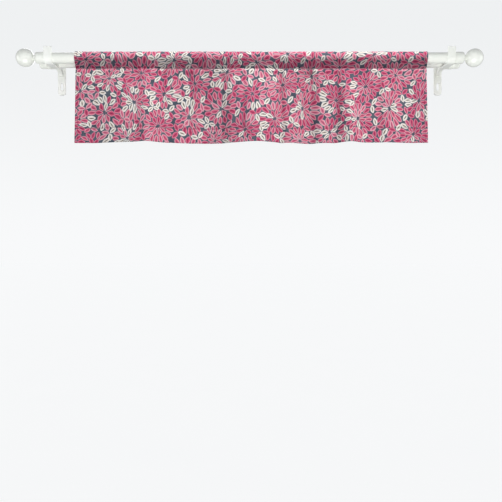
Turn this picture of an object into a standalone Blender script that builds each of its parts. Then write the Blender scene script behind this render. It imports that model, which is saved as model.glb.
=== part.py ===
"""Window valance hung by its rod pocket on the front rod of a double curtain rod.

Units are metres, +Z is up. The wall is the plane y = 0 and the room lies towards -Y.
x = 0 is midway between the two brackets, and z = 0 is the height of both rods' axes.
"forward" below always means out from the wall, so y = -forward.
"""

import math

import bmesh
import bpy
import numpy as np

# Clearance between pieces that touch
GAP = 0.0003

# Rods
FRONT_ROD_RADIUS = 0.0175
FRONT_ROD_FORWARD = 0.140
REAR_ROD_RADIUS = 0.0125
REAR_ROD_FORWARD = 0.070
ROD_END_X = 0.6848

# Finials of the front rod, lengths along the rod from its end
COLLAR_RADIUS = 0.0195
COLLAR_LENGTH = 0.031
COLLAR_SHOULDER = 0.006
NECK_RADIUS = 0.009
BALL_RADIUS = 0.030
BALL_CENTRE = 0.067

# End caps of the rear rod, lengths along the rod from its end
CAP_COLLAR_RADIUS = 0.0168
CAP_COLLAR_LENGTH = 0.0145
CAP_GROOVE_RADIUS = 0.0145
CAP_GROOVE_LENGTH = 0.0015
CAP_RADIUS = 0.0155
CAP_TIP = 0.0415
CAP_ROUNDING = 0.009

# Brackets
BRACKET_X = 0.671
BRACKET_WIDTH = 0.027
PLATE_TOP = 0.057
PLATE_BOTTOM = -0.091
PLATE_THICKNESS = 0.008
PLATE_CORNER = 0.010
SLOT_WIDTH = 0.009
SLOT_LENGTH = 0.027
SLOT_CORNER = 0.0044
CUTTER_DEPTH = 0.024
SLOT_FROM_END = 0.0305
EDGE_ROUNDING = 0.0012

WEB_WIDTH = 0.014
WEB_ROOT_TOP = -0.003
WEB_ROOT_BOTTOM = -0.024
WEB_BOTTOM = -0.0115
WEB_CURVE_REACH = 0.040
STRAP_WALL = 0.0035
CUP_WALL = 0.0042
CUP_TOP = 0.0042
BAR_TOP = -0.0130
CRADLE_BACK_TOP = 0.004
LIP_TOP = 0.033

# Valance, hung
CLOTH_LEFT = -0.586
CLOTH_RIGHT = 0.594
HEM_FLARE = 0.004
CLOTH_THICKNESS = 0.002
HEM_THICKNESS = 0.003
HEM_DEPTH = 0.048
HEM_EDGE_DEPTH = 0.003
POCKET_EASE = 0.00045
POCKET_APEX = 0.0325
SEAM_DROP = 0.035
SKIRT_LENGTH = 0.249

# Fineness of the meshes
CLOTH_STATIONS = 82
SKIRT_ROWS = 8
POCKET_STEPS = 16
ROUND_STEPS = 36
WEB_CURVE_POINTS = 9
WELD_DISTANCE = 1e-6
TURNED_WELD_DISTANCE = 1e-5
ARC_STEP = math.radians(12)
FLAT_ANGLE = math.radians(1)

# Folds of the skirt from the left edge to the right one, in millimetres. Each row is one crest,
# trough or shoulder: where it lies and how far forward of the rod's axis it stands, at the hem
# and at the pocket seam.
MM = 0.001
FOLD_COLUMNS = ("hem_x", "hem_forward", "seam_x", "seam_forward")
FOLD_ROWS = (
    (-590, -3, -587, -0.5),
    (-553, -11, -556, -1.0),
    (-455, 8, -462, 0.5),
    (-390, 17, -392, 1.0),
    (-335, 27, -345, 2.0),
    (-287, 6, -300, -0.5),
    (-200, -16, -205, -1.0),
    (-152, -27, -150, -1.5),
    (-106, -18, -98, -1.5),
    (-54, 6, -66, 1.5),
    (30, 27, 18, 2.0),
    (86, 9, 92, 1.0),
    (113, -4, 112, -2.0),
    (136, 0, 132, 0.5),
    (190, -25, 186, -2.0),
    (246, -5, 252, -0.5),
    (286, -3, 296, -0.5),
    (330, 25, 322, 2.0),
    (374, 7, 366, 0.5),
    (468, 7, 462, 1.0),
    (540, -4, 538, -1.0),
    (600, 1, 597, 0.0),
)


def clear_scene():
    """Remove every object that the file opened with."""
    for obj in list(bpy.data.objects):
        bpy.data.objects.remove(obj, do_unlink=True)


def new_collection(name):
    """Add a collection to the scene."""
    collection = bpy.data.collections.new(name)
    bpy.context.scene.collection.children.link(collection)
    return collection


def material(name, color, roughness, metallic=0.0):
    """Principled material from a linear RGB colour."""
    made = bpy.data.materials.new(name)
    made.use_nodes = True
    shader = made.node_tree.nodes["Principled BSDF"]
    shader.inputs["Base Color"].default_value = (*color, 1.0)
    shader.inputs["Roughness"].default_value = roughness
    shader.inputs["Metallic"].default_value = metallic
    return made


def object_from(name, vertices, faces, collection, surface=None):
    """Object whose mesh has these vertices and faces, with its normals pointing out."""
    mesh = bpy.data.meshes.new(name)
    mesh.from_pydata([tuple(v) for v in vertices], [], [tuple(f) for f in faces])
    bm = bmesh.new()
    bm.from_mesh(mesh)
    bmesh.ops.recalc_face_normals(bm, faces=bm.faces)
    bm.to_mesh(mesh)
    bm.free()
    obj = bpy.data.objects.new(name, mesh)
    collection.objects.link(obj)
    if surface:
        mesh.materials.append(surface)
    return obj


def arc(centre, radius, start, end):
    """Points of a circular arc in its plane, both ends included; angles in degrees."""
    start, end = math.radians(start), math.radians(end)
    steps = max(2, round(abs(end - start) / ARC_STEP))
    angles = [start + (end - start) * i / steps for i in range(steps + 1)]
    return [(centre[0] + radius * math.cos(a), centre[1] + radius * math.sin(a)) for a in angles]


def rounded_rectangle(width, bottom, top, radius):
    """Outline of an upright rectangle centred on x = 0, with round corners."""
    side = width / 2 - radius
    corners = (
        ((side, top - radius), 0),
        ((-side, top - radius), 90),
        ((-side, bottom + radius), 180),
        ((side, bottom + radius), 270),
    )
    return [point for centre, turn in corners for point in arc(centre, radius, turn, turn + 90)]


def extruded(name, outline, width, collection, surface=None):
    """Flat outline (x, y) as a 2D curve, filled and extruded along Z, then made a mesh."""
    curve = bpy.data.curves.new(name, "CURVE")
    curve.dimensions = "2D"
    curve.fill_mode = "BOTH"
    curve.extrude = width / 2
    spline = curve.splines.new("POLY")
    spline.points.add(len(outline) - 1)
    for point, (x, y) in zip(spline.points, outline):
        point.co = (x, y, 0.0, 1.0)
    spline.use_cyclic_u = True
    guide = bpy.data.objects.new(name + "_outline", curve)
    collection.objects.link(guide)
    bpy.context.view_layer.update()
    evaluated = guide.evaluated_get(bpy.context.evaluated_depsgraph_get())
    mesh = bpy.data.meshes.new_from_object(evaluated)
    bm = bmesh.new()
    bm.from_mesh(mesh)
    bmesh.ops.remove_doubles(bm, verts=bm.verts, dist=WELD_DISTANCE)
    bmesh.ops.dissolve_limit(bm, angle_limit=FLAT_ANGLE, verts=bm.verts, edges=bm.edges)
    bmesh.ops.recalc_face_normals(bm, faces=bm.faces)
    bm.to_mesh(mesh)
    bm.free()
    mesh.name = name
    bpy.data.objects.remove(guide, do_unlink=True)
    obj = bpy.data.objects.new(name, mesh)
    collection.objects.link(obj)
    if surface:
        mesh.materials.append(surface)
    return obj


def round_edges(obj, width):
    """Bevel the sharp edges of a piece."""
    bevel = obj.modifiers.new("Rounded edges", "BEVEL")
    bevel.width = width
    bevel.segments = 2
    bevel.limit_method = "ANGLE"
    bevel.angle_limit = math.radians(40)
    bevel.use_clamp_overlap = True


def shade_smooth(obj, sharp=35):
    """Smooth shading, with edges over `sharp` degrees kept sharp."""
    obj.data.shade_smooth()
    obj.data.set_sharp_from_angle(angle=math.radians(sharp))


def cubic_through(x, y, at):
    """Smooth curve through the points (x, y), read at the places `at`.

    Each stretch is a cubic whose slope at a point is that of the chord between its neighbours.
    """
    slope = np.gradient(y, x)
    i = np.clip(np.searchsorted(x, at) - 1, 0, len(x) - 2)
    step = x[i + 1] - x[i]
    t = np.clip((at - x[i]) / step, 0.0, 1.0)
    return (
        (2 * t**3 - 3 * t**2 + 1) * y[i]
        + (t**3 - 2 * t**2 + t) * step * slope[i]
        + (3 * t**2 - 2 * t**3) * y[i + 1]
        + (t**3 - t**2) * step * slope[i + 1]
    )


def skirt_points(shares):
    """Middle surface of the skirt, rows by columns by (x, y, z).

    A row lies at a share of the way from the seam (0) to the hem (1). Each fold's place moves
    straight from seam to hem, and its depth opens quickly below the seam and then hangs plumb.
    The skirt keeps its length, so a fold that swings out of plumb rises a little.
    """
    folds = dict(zip(FOLD_COLUMNS, np.array(FOLD_ROWS).T * MM))
    across = np.linspace(0.0, 1.0, CLOTH_STATIONS + 1)
    rows = []
    for share in shares:
        opening = 1 - (1 - share) ** 2
        x = np.interp(across, (0, 1), (CLOTH_LEFT, CLOTH_RIGHT)) + HEM_FLARE * share * (2 * across - 1)
        fold_x = folds["seam_x"] + (folds["hem_x"] - folds["seam_x"]) * share
        fold_forward = folds["seam_forward"] + (folds["hem_forward"] - folds["seam_forward"]) * opening
        forward = cubic_through(fold_x, fold_forward, x)
        seam_forward = rows[0][:, 3] if rows else forward
        drop = np.sqrt(np.maximum((SKIRT_LENGTH * share) ** 2 - (forward - seam_forward) ** 2, 0.0))
        rows.append(np.stack([x, -FRONT_ROD_FORWARD - forward, -SEAM_DROP - drop, forward], axis=1))
    return np.array(rows)[:, :, :3]


def surface_normals(points):
    """Unit normals of a grid of points, pointing out from the wall."""
    down, across = np.gradient(points, axis=(0, 1))
    normals = np.cross(across, down)
    normals /= np.linalg.norm(normals, axis=2, keepdims=True)
    return normals * -np.sign(normals[:, :, 1:2])


def valance_sections():
    """Cross-sections of the valance, one for each station: the outer loop and the pocket's inner loop.

    The outer loop climbs the skirt's front from the hem, passes over the pocket and comes down
    the skirt's back. The pocket hugs the rod's upper side, and its two layers run straight from
    the rod to the seam below it.
    """
    hem_edge = 1 - HEM_DEPTH / SKIRT_LENGTH
    hem_below_edge = hem_edge + HEM_EDGE_DEPTH / SKIRT_LENGTH
    shares = np.append(np.linspace(0, hem_edge, SKIRT_ROWS), (hem_below_edge, 1.0))
    middle = skirt_points(shares)
    normals = surface_normals(middle)
    thickness = np.where(shares > hem_edge, HEM_THICKNESS, CLOTH_THICKNESS)[:, None, None]
    front = middle + normals * CLOTH_THICKNESS / 2
    back = middle + normals * (CLOTH_THICKNESS / 2 - thickness)

    inner = FRONT_ROD_RADIUS + POCKET_EASE
    leaves = math.asin(inner / POCKET_APEX)
    angles = np.linspace(-leaves, math.pi + leaves, POCKET_STEPS + 1)
    x = np.broadcast_to(middle[0, :, 0], (len(angles), middle.shape[1]))
    rings = []
    for radius in (inner + CLOTH_THICKNESS, inner):
        y = np.broadcast_to((-FRONT_ROD_FORWARD - radius * np.cos(angles))[:, None], x.shape)
        z = np.broadcast_to((radius * np.sin(angles))[:, None], x.shape)
        rings.append(np.stack([x, y, z], axis=2))
    apex = middle[:1].copy()
    apex[:, :, 2] = -POCKET_APEX
    outer_loop = np.concatenate([front[::-1], rings[0], back])
    inner_loop = np.concatenate([apex, rings[1]])
    return outer_loop, inner_loop


def loop_faces(first, count, stations, stride):
    """Quads that join a closed loop of points to the same loop at the next station."""
    faces = []
    for station in range(stations):
        for i in range(count):
            a = first + i + station * stride
            b = first + (i + 1) % count + station * stride
            faces.append((a, b, b + stride, a + stride))
    return faces


def end_faces(offset, outer, skirt, ring):
    """Faces that close the cloth's edge at one end: the skirt's strip and the pocket's ring."""
    faces = [
        (offset + i, offset + i + 1, offset + outer - 2 - i, offset + outer - 1 - i)
        for i in range(skirt - 1)
    ]
    apex = offset + outer
    faces.append((offset + skirt - 1, apex, offset + skirt + ring))
    faces.append((offset + skirt - 1, offset + skirt, apex + 1, apex))
    for i in range(ring - 1):
        faces.append((offset + skirt + i, offset + skirt + i + 1, apex + 2 + i, apex + 1 + i))
    faces.append((offset + skirt + ring - 1, offset + skirt + ring, apex, apex + ring))
    return faces


def make_valance(collection, surface):
    """The valance: one closed sheet lofted through its hanging cross-sections."""
    outer_loop, inner_loop = valance_sections()
    outer, inner = len(outer_loop), len(inner_loop)
    stride = outer + inner
    points = np.concatenate([outer_loop, inner_loop]).transpose(1, 0, 2).reshape(-1, 3)
    ring = inner - 1
    skirt = (outer - ring) // 2
    faces = loop_faces(0, outer, CLOTH_STATIONS, stride)
    faces += loop_faces(outer, inner, CLOTH_STATIONS, stride)
    faces += end_faces(0, outer, skirt, ring)
    faces += end_faces(CLOTH_STATIONS * stride, outer, skirt, ring)
    obj = object_from("valance", points, faces, collection, surface)
    shade_smooth(obj, sharp=25)


def make_rod(name, radius, forward, collection, surface):
    """A straight round rod along X."""
    bpy.ops.mesh.primitive_cylinder_add(
        vertices=ROUND_STEPS,
        radius=radius,
        depth=2 * ROD_END_X,
        location=(0.0, -forward, 0.0),
        rotation=(0.0, math.radians(90), 0.0),
    )
    obj = bpy.context.object
    obj.name = obj.data.name = name
    for holder in list(obj.users_collection):
        holder.objects.unlink(obj)
    collection.objects.link(obj)
    obj.data.materials.append(surface)
    shade_smooth(obj)


def make_turned(name, profile, place, side, collection, surface):
    """Turn a profile of (radius, length) about the rod's line.

    The profile runs from the far tip back to the rod's end. side is +1 at the right end.
    """
    mesh = bpy.data.meshes.new(name)
    edges = [(i, i + 1) for i in range(len(profile) - 1)]
    mesh.from_pydata([(radius, 0.0, length) for radius, length in profile], edges, [])
    obj = bpy.data.objects.new(name, mesh)
    collection.objects.link(obj)
    obj.location = place
    obj.rotation_euler = (0.0, math.radians(90) * side, 0.0)
    mesh.materials.append(surface)
    turn = obj.modifiers.new("Turned", "SCREW")
    turn.axis = "Z"
    turn.steps = turn.render_steps = ROUND_STEPS
    turn.use_merge_vertices = True
    turn.merge_threshold = TURNED_WELD_DISTANCE
    turn.use_smooth_shade = True


def finial_profile():
    """Ball, neck and round-shouldered collar, from the tip to the rod."""
    neck_angle = math.degrees(math.asin(NECK_RADIUS / BALL_RADIUS))
    ball = arc((0.0, BALL_CENTRE), BALL_RADIUS, 90, -90 + neck_angle)
    shoulder = arc(
        (COLLAR_RADIUS - COLLAR_SHOULDER, COLLAR_LENGTH - COLLAR_SHOULDER), COLLAR_SHOULDER, 90, 0
    )
    return ball + [(NECK_RADIUS, COLLAR_LENGTH)] + shoulder + [(COLLAR_RADIUS, 0.0), (0.0, 0.0)]


def cap_profile():
    """Cap with a rounded end, a groove and a collar, from the tip to the rod."""
    rounding = arc((CAP_RADIUS - CAP_ROUNDING, CAP_TIP - CAP_ROUNDING), CAP_ROUNDING, 90, 0)
    groove_end = CAP_COLLAR_LENGTH + CAP_GROOVE_LENGTH
    return (
        [(0.0, CAP_TIP)]
        + rounding
        + [(CAP_RADIUS, groove_end), (CAP_GROOVE_RADIUS, groove_end)]
        + [(CAP_GROOVE_RADIUS, CAP_COLLAR_LENGTH), (CAP_COLLAR_RADIUS, CAP_COLLAR_LENGTH)]
        + [(CAP_COLLAR_RADIUS, 0.0), (0.0, 0.0)]
    )


def strap_outline():
    """Side view of the wide strap as (forward, height), round from the rear cup's outer wall.

    The strap bends round under the rear rod as an open cup, runs forward as a bar, and bends
    round under the front rod as a cradle whose outer wall stands up as a tall flat lip.
    """
    front, rear = (FRONT_ROD_FORWARD, 0.0), (REAR_ROD_FORWARD, 0.0)
    seat, cup = FRONT_ROD_RADIUS + GAP, REAR_ROD_RADIUS + GAP
    half_wall, half_cup_wall = STRAP_WALL / 2, CUP_WALL / 2
    lip = (front[0] + seat + half_wall, LIP_TOP - half_wall)
    cradle_back = (front[0] - seat - half_wall, CRADLE_BACK_TOP - half_wall)
    cup_front = (rear[0] + cup + half_cup_wall, CUP_TOP - half_cup_wall)
    cup_back = (rear[0] - cup - half_cup_wall, CUP_TOP - half_cup_wall)
    meets_cradle = front[0] - math.sqrt((seat + STRAP_WALL) ** 2 - BAR_TOP**2)
    meets_cup = math.degrees(math.asin(BAR_TOP / (cup + CUP_WALL)))

    outline = arc(rear, cup + CUP_WALL, -180, -90)
    outline += arc(front, seat + STRAP_WALL, -90, 0)
    outline += arc(lip, half_wall, 0, 180)
    outline += arc(front, seat, 0, -180)
    outline += arc(cradle_back, half_wall, 0, 180)
    outline += [(cradle_back[0] - half_wall, 0.0), (meets_cradle, BAR_TOP)]
    outline += arc(rear, cup + CUP_WALL, meets_cup, 0)
    outline += arc(cup_front, half_cup_wall, 0, 180)
    outline += arc(rear, cup, 0, -180)
    outline += arc(cup_back, half_cup_wall, 0, 180)
    return outline


def web_outline():
    """Side view of the narrow web, round from its root's lower corner.

    The web narrows on a cosine curve from its root at the wall plate, and its slanted end lies
    in the middle of the rear cup's wall.
    """
    root = PLATE_THICKNESS + GAP
    middle = REAR_ROD_RADIUS + GAP + CUP_WALL / 2
    rise = WEB_BOTTOM - WEB_ROOT_BOTTOM
    outline = [
        (root + WEB_CURVE_REACH * t, WEB_ROOT_BOTTOM + rise * (1 - math.cos(math.pi * t)) / 2)
        for t in np.linspace(0.0, 1.0, WEB_CURVE_POINTS)
    ]
    outline += [
        (REAR_ROD_FORWARD - math.sqrt(middle**2 - height**2), height)
        for height in (WEB_BOTTOM, WEB_ROOT_TOP)
    ]
    outline += [(root, WEB_ROOT_TOP)]
    return outline


def make_arm(name, side, collection, joined, surface):
    """An arm standing forward from its wall plate: a narrow web joined to the wide strap."""
    # An outline's first axis turns to -Y, its second to +Z and the extrusion to X.
    turn = (math.radians(90), 0.0, math.radians(-90))
    obj = extruded(name, strap_outline(), BRACKET_WIDTH, collection, surface)
    web = extruded(f"{name}_web", web_outline(), WEB_WIDTH, joined)
    for shape in (obj, web):
        shape.rotation_euler = turn
        shape.location = (side * BRACKET_X, 0.0, 0.0)
        round_edges(shape, EDGE_ROUNDING)
    web.hide_render = True
    web.display_type = "WIRE"
    join = obj.modifiers.new("web", "BOOLEAN")
    join.operation = "UNION"
    join.solver = "EXACT"
    join.object = web
    shade_smooth(obj)


def make_plate(name, side, collection, cutters, surface):
    """A wall plate with a screw slot near each end."""
    outline = rounded_rectangle(BRACKET_WIDTH, PLATE_BOTTOM, PLATE_TOP, PLATE_CORNER)
    obj = extruded(name, outline, PLATE_THICKNESS, collection, surface)
    # The outline's second axis turns to +Z and the thickness to Y.
    upright = (math.radians(90), 0.0, 0.0)
    obj.rotation_euler = upright
    obj.location = (side * BRACKET_X, -PLATE_THICKNESS / 2, 0.0)
    for end, centre in (
        ("lower", PLATE_BOTTOM + SLOT_FROM_END),
        ("upper", PLATE_TOP - SLOT_FROM_END),
    ):
        half = SLOT_LENGTH / 2
        slot = rounded_rectangle(SLOT_WIDTH, centre - half, centre + half, SLOT_CORNER)
        cutter = extruded(f"{name}_{end}_slot", slot, CUTTER_DEPTH, cutters)
        cutter.rotation_euler = upright
        cutter.location = obj.location
        cutter.hide_render = True
        cutter.display_type = "WIRE"
        cut = obj.modifiers.new(f"{end} slot", "BOOLEAN")
        cut.operation = "DIFFERENCE"
        cut.solver = "EXACT"
        cut.object = cutter
    round_edges(obj, EDGE_ROUNDING)
    shade_smooth(obj)


def main():
    """Build every piece of the valance and its double rod."""
    clear_scene()
    parts = new_collection("window valance on double rod")
    cutters = new_collection("cutters and joined shapes")
    cutters.hide_render = True
    cloth = material("printed_polyester", (0.52, 0.10, 0.19), 0.85)
    steel = material("white_gloss_rod", (0.82, 0.83, 0.80), 0.22)
    moulding = material("white_bracket", (0.86, 0.87, 0.85), 0.30)

    make_valance(parts, cloth)
    make_rod("front_rod", FRONT_ROD_RADIUS, FRONT_ROD_FORWARD, parts, steel)
    make_rod("rear_rod", REAR_ROD_RADIUS, REAR_ROD_FORWARD, parts, steel)
    for side, word in ((-1, "left"), (1, "right")):
        finial_place = (side * (ROD_END_X + GAP), -FRONT_ROD_FORWARD, 0.0)
        cap_place = (side * (ROD_END_X + GAP), -REAR_ROD_FORWARD, 0.0)
        make_turned(f"finial_{word}", finial_profile(), finial_place, side, parts, steel)
        make_turned(f"rear_cap_{word}", cap_profile(), cap_place, side, parts, steel)
        make_arm(f"arm_{word}", side, parts, cutters, moulding)
        make_plate(f"wall_plate_{word}", side, parts, cutters, moulding)


main()
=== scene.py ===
"""Looks of a window valance that hangs by its rod pocket on a double curtain rod.

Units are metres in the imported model's frame: +Z is up, the wall is the plane y = 0 and the room
lies towards -Y. x = 0 is midway between the brackets, and z = 0 is the height of the rods' axes.
"forward" always means out from the wall, so y = -forward.
"""

import logging
import math
from dataclasses import dataclass
from enum import Enum
from functools import partialmethod

import bmesh
import bpy
import numpy as np
from bpy.types import Material, Node, NodeSocket, NodeTree, Object
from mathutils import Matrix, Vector


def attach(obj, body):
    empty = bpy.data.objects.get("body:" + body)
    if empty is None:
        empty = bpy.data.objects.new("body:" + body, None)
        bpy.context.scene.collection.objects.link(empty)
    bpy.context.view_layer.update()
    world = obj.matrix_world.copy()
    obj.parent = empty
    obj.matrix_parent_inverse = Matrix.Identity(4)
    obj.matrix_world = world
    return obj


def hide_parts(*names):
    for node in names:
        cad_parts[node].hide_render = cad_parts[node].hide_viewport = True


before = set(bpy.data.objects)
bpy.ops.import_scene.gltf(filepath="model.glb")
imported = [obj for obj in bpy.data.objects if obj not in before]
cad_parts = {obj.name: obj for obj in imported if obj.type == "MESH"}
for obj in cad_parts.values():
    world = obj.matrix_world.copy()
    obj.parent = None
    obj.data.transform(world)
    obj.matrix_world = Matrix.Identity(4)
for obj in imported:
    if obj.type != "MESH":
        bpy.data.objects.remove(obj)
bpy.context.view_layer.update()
LOG = logging.getLogger("valance")
Array = np.ndarray
Pair = tuple[float, float]
Point = tuple[float, float, float]
MM = 0.001
TURN = 2 * math.pi
CLOTH_MAP = "cloth"
FRONT_FORWARD = 0.140
REAR_FORWARD = 0.070
FITTING_START = 0.6851
# Angles of the points round a fold of the cloth
BEND = np.radians([45, 90, 135])


class Side(Enum):
    """End of the rods, by the sign of its x."""

    LEFT = -1
    RIGHT = 1

    @property
    def word(self) -> str:
        """The side's name as the nodes spell it."""
        return self.name.lower()


class Lit(Enum):
    """Pieces that a lamp lights."""

    CLOTH = "cloth"
    FITTINGS = "fittings"
    ALL = "all"


# Colours and nodes


def linear(code: str) -> tuple[float, float, float, float]:
    """Turn an sRGB hex colour into linear light.

    Args:
        code: Six hex digits, with or without the leading #.

    Returns:
        Red, green, blue and an alpha of 1.
    """
    srgb = [int(code.lstrip("#")[i : i + 2], 16) / 255 for i in (0, 2, 4)]
    light = [c / 12.92 if c <= 0.04045 else ((c + 0.055) / 1.055) ** 2.4 for c in srgb]
    return (*light, 1.0)


def plug(node: Node, inputs: dict) -> None:
    """Set or link a node's inputs: a value, socket or Wire by each one's name or number."""
    for key, value in inputs.items():
        value = value.socket if isinstance(value, Wire) else value
        if isinstance(value, NodeSocket):
            node.id_data.links.new(value, node.inputs[key])
        else:
            node.inputs[key].default_value = value


def add_node(tree: NodeTree, kind: str, inputs: dict | None = None, **settings) -> Node:
    """Add a node and set it up.

    Args:
        tree: Node tree that gets the node.
        kind: Node type, without its ShaderNode prefix.
        inputs: Value, socket or Wire for each input, by its name or number.
        settings: Properties of the node itself.

    Returns:
        The new node.
    """
    node = tree.nodes.new("ShaderNode" + kind)
    for key, value in settings.items():
        setattr(node, key, value)
    plug(node, inputs or {})
    return node


@dataclass(frozen=True)
class Wire:
    """A number on a node socket, so that a pattern's formula can be written as one."""

    tree: NodeTree
    socket: NodeSocket

    def math(self, operation: str, *others: "Wire | float") -> "Wire":
        """Apply a Math node to this number and others.

        Args:
            operation: The Math node's operation.
            others: The second and third numbers, where the operation has them.

        Returns:
            The node's result.
        """
        inputs = dict(enumerate((self, *others)))
        return Wire(self.tree, add_node(self.tree, "Math", inputs, operation=operation).outputs[0])

    __add__ = partialmethod(math, "ADD")
    __sub__ = partialmethod(math, "SUBTRACT")
    __mul__ = partialmethod(math, "MULTIPLY")
    __truediv__ = partialmethod(math, "DIVIDE")
    __abs__ = partialmethod(math, "ABSOLUTE")
    floor = partialmethod(math, "FLOOR")
    fraction = partialmethod(math, "FRACT")
    sine = partialmethod(math, "SINE")
    cosine = partialmethod(math, "COSINE")
    least = partialmethod(math, "MINIMUM")
    most = partialmethod(math, "MAXIMUM")
    # 1 where the number is more or less than the other, else 0
    above = partialmethod(math, "GREATER_THAN")
    below = partialmethod(math, "LESS_THAN")

    def pick(self, where_one: "Wire", where_zero: "Wire") -> "Wire":
        """Choose between two numbers by this one, which is 0 or 1."""
        return where_zero + (where_one - where_zero) * self

    def ramp(self, low: float, high: float) -> "Wire":
        """Rise smoothly from 0 at low to 1 at high.

        Args:
            low: Value that gives 0.
            high: Value that gives 1, which may lie below low.

        Returns:
            The eased share.
        """
        inputs = {"Value": self, "From Min": low, "From Max": high}
        node = add_node(self.tree, "MapRange", inputs, interpolation_type="SMOOTHSTEP")
        return Wire(self.tree, node.outputs["Result"])


def vector_of(first: Wire, *others: Wire | float) -> NodeSocket:
    """Combine up to three numbers into a vector socket."""
    return add_node(first.tree, "CombineXYZ", dict(enumerate((first, *others)))).outputs[0]


def parts_of(tree: NodeTree, socket: NodeSocket, kind: str = "XYZ") -> list[Wire]:
    """Split a vector, or a colour where the kind is Color, into its three numbers."""
    return [Wire(tree, part) for part in add_node(tree, "Separate" + kind, {0: socket}).outputs]


def randoms_at(first: Wire, *others: Wire | float) -> list[Wire]:
    """Three random numbers from 0 to 1 that depend only on the numbers given."""
    place = {"Vector": vector_of(first, *others)}
    noise = add_node(first.tree, "TexWhiteNoise", place, noise_dimensions="3D")
    return parts_of(first.tree, noise.outputs["Color"], "Color")


def noise_at(tree: NodeTree, vector: NodeSocket, scale: float, detail: float) -> Wire:
    """Smooth noise of about 0.5 on a vector, with this many features per metre."""
    node = add_node(tree, "TexNoise", {"Vector": vector, "Scale": scale, "Detail": detail})
    return Wire(tree, node.outputs["Fac"])


def leaf_noise(x: Wire, y: Wire, scale: float, layer: float = 0.0) -> Wire:
    """Smooth noise at a leaf's middle, so that all of the leaf has one value."""
    return noise_at(x.tree, vector_of(x, y, layer), scale, 0.0)


def mixed(
    tree: NodeTree, share: Wire, first: NodeSocket | tuple, second: NodeSocket | tuple
) -> NodeSocket:
    """Mix two colours: the first at share 0, the second at share 1."""
    inputs = {"Factor": share, 6: first, 7: second}
    return add_node(tree, "Mix", inputs, data_type="RGBA").outputs[2]


def palette(tree: NodeTree, share: Wire, stops: list[tuple[float, str]]) -> NodeSocket:
    """Pick one of several flat colours by a share.

    Args:
        tree: Node tree to build in.
        share: The number that picks.
        stops: Where each colour starts, and its hex code.

    Returns:
        The colour socket.
    """
    node = add_node(tree, "ValToRGB", {"Fac": share})
    ramp = node.color_ramp
    ramp.interpolation = "CONSTANT"
    for index, (place, code) in enumerate(stops):
        stop = ramp.elements[index] if index < len(ramp.elements) else ramp.elements.new(place)
        stop.position, stop.color = place, linear(code)
    return node.outputs["Color"]


def new_material(name: str) -> tuple[Material, NodeTree, Node]:
    """Start a material. It comes with its tree and its Principled shader."""
    made = bpy.data.materials.new(name)
    made.use_nodes = True
    return made, made.node_tree, made.node_tree.nodes["Principled BSDF"]


def bump(tree: NodeTree, height: Wire, distance: float, strength: float = 1.0) -> NodeSocket:
    """Normal of a surface raised by height times distance in metres."""
    inputs = {"Height": height, "Distance": distance, "Strength": strength}
    return add_node(tree, "Bump", inputs).outputs["Normal"]


# Finishes


@dataclass(frozen=True)
class Inks:
    """Ink colours of one kind of leaf."""

    body: str
    rim: str
    slit: str


@dataclass(frozen=True)
class Ring:
    """Leaves round a centre: how far out their middles are, half their size, and their count."""

    middle: float
    half_length: float
    half_width: float
    leaves: int


@dataclass(frozen=True)
class Spot:
    """A place x, y on the print. Its flower's centre is i, j half cells out, at cx, cy."""

    x: Wire
    y: Wire
    i: Wire
    j: Wire
    cx: Wire
    cy: Wire


@dataclass(frozen=True)
class Leaf:
    """The leaf at a spot: how far that lies inside the leaf's edge and inside its slit, the
    leaf's number from 0 to 1 that picks its pink, and 1 where it is cream."""

    edge: Wire
    slit: Wire
    pink: Wire
    cream: Wire


@dataclass(frozen=True)
class Stitching:
    """Lockstitch rows of the pocket, the bottom hem and the side hems.

    The thread is drawn 1.1 mm thick, about four times as thick as it is, so that it shows.
    """

    rows: tuple[float, ...] = (0.0, 0.2015)
    sides: float = 0.6015
    pitch: float = 0.0036
    sewn: float = 0.70
    thread: float = 0.0011
    pull: float = 0.004
    colour: str = "#7C3450"

    def over(self, across: Wire, down: Wire) -> tuple[Wire, Wire]:
        """Find the thread and the groove it pulls into the cloth.

        A row is where the distance to it is under half the thread, and the thread shows for
        the sewn share of each pitch. The groove fades out over the pull.

        Args:
            across: Distance across the flat cloth from its middle.
            down: Distance down it from the pocket's seam.

        Returns:
            1 where thread shows, and the groove's depth from 0 to 1.
        """
        near = abs(down - self.rows[0])
        for row in self.rows[1:]:
            near = near.least(abs(down - row))
        beside = abs(abs(across) - self.sides)
        level, upright = (
            (place / self.pitch).fraction().below(self.sewn) for place in (across, down)
        )
        half = self.thread / 2
        in_rows = near.below(half) * level
        up_sides = beside.below(half) * upright
        groove = near.least(beside).ramp(self.pull, 0.0)
        return in_rows.most(up_sides), groove


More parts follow.
